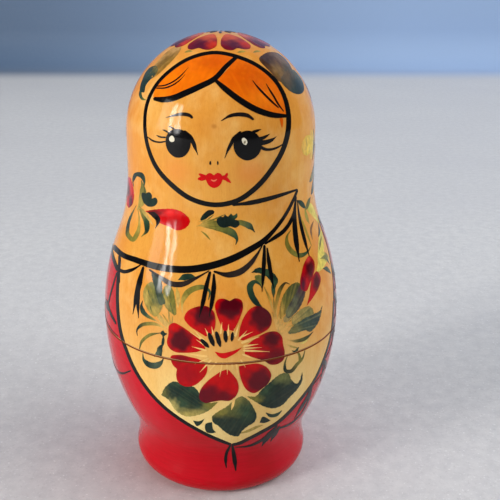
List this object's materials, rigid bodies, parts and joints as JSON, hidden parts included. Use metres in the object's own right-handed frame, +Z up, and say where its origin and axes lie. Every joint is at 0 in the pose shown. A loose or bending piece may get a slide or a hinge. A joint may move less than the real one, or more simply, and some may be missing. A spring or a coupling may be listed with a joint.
{
  "type": "nesting doll",
  "caption": "Turned, painted and lacquered wooden nesting doll that opens at the belly on a lipped joint and holds smaller dolls of the same shape.",
  "frame": {"origin": "centre of the flat underside of the largest doll's foot", "axes": "+Z up along the turning axis of all the dolls; the painted faces look towards -Y"},
  "size_m": [0.0588, 0.0588, 0.11],
  "materials": {
    "light_painted_wood": "bare linden ground with brush painting under gloss lacquer",
    "red_painted_wood": "red paint with brush painting under gloss lacquer"
  },
  "bodies": {
    "outer_bottom_half": {"outer_bottom_half": "red_painted_wood"},
    "second_bottom_half": {"second_bottom_half": "red_painted_wood"},
    "third_bottom_half": {"third_bottom_half": "red_painted_wood"},
    "fourth_bottom_half": {"fourth_bottom_half": "red_painted_wood"},
    "smallest_doll": {"smallest_doll": "red_painted_wood"},
    "fourth_top_half": {"fourth_top_half": "light_painted_wood"},
    "third_top_half": {"third_top_half": "light_painted_wood"},
    "second_top_half": {"second_top_half": "light_painted_wood"},
    "outer_top_half": {"outer_top_half": "light_painted_wood"}
  },
  "joints": [
    {"name": "lift_second_bottom_half", "type": "slide", "parent": "outer_bottom_half", "child": "second_bottom_half", "axis": [0, 0, 1], "range_m": [0, 0.046]},
    {"name": "lift_third_bottom_half", "type": "slide", "parent": "second_bottom_half", "child": "third_bottom_half", "axis": [0, 0, 1], "range_m": [0, 0.035]},
    {"name": "lift_fourth_bottom_half", "type": "slide", "parent": "third_bottom_half", "child": "fourth_bottom_half", "axis": [0, 0, 1], "range_m": [0, 0.027]},
    {"name": "lift_smallest_doll", "type": "slide", "parent": "fourth_bottom_half", "child": "smallest_doll", "axis": [0, 0, 1], "range_m": [0, 0.02]},
    {"name": "lift_fourth_top_half", "type": "slide", "parent": "smallest_doll", "child": "fourth_top_half", "axis": [0, 0, 1], "range_m": [0, 0.021]},
    {"name": "lift_third_top_half", "type": "slide", "parent": "fourth_top_half", "child": "third_top_half", "axis": [0, 0, 1], "range_m": [0, 0.029]},
    {"name": "lift_second_top_half", "type": "slide", "parent": "third_top_half", "child": "second_top_half", "axis": [0, 0, 1], "range_m": [0, 0.039]},
    {"name": "lift_outer_top_half", "type": "slide", "parent": "second_top_half", "child": "outer_top_half", "axis": [0, 0, 1], "range_m": [0, 0.052]}
  ]
}
